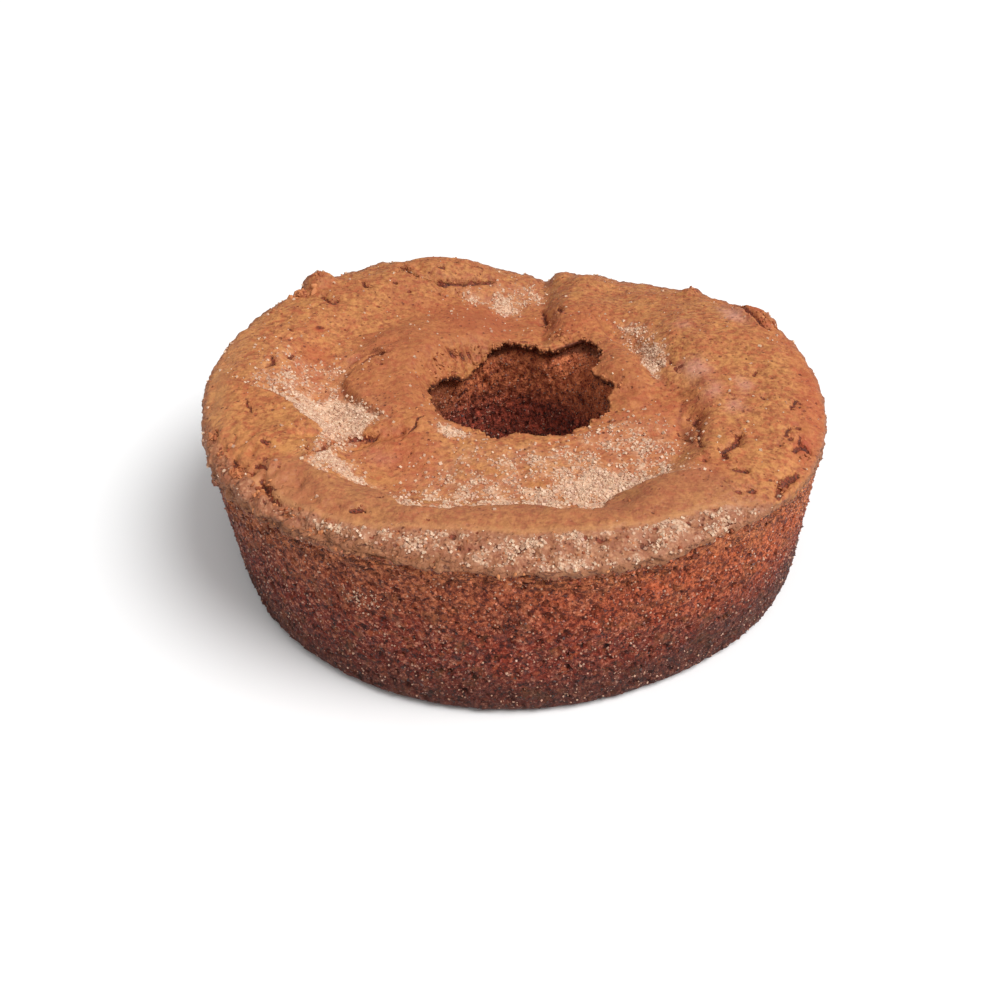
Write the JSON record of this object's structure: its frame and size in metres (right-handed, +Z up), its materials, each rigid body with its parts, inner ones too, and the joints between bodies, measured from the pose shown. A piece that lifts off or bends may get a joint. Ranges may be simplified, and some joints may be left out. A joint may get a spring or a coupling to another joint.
{
  "type": "banana cake",
  "caption": "Ring-shaped banana cake baked in a tube tin, with an uneven risen brown crust, a round hole through the middle and a flat base to rest on.",
  "frame": {"origin": "centre of the cake's bounding box in plan, on the flat base that it rests on", "axes": "+Z up through the hole; -Y towards the side that faces the camera in the picture; +X to that camera's right"},
  "size_m": [0.241, 0.2374, 0.0757],
  "materials": {
    "cake": "Matte baked brown crust with sugar on it; the wall and the hole are darker, coarse red-brown crumb."
  },
  "bodies": {
    "root": {"cake": "cake"}
  },
  "joints": []
}
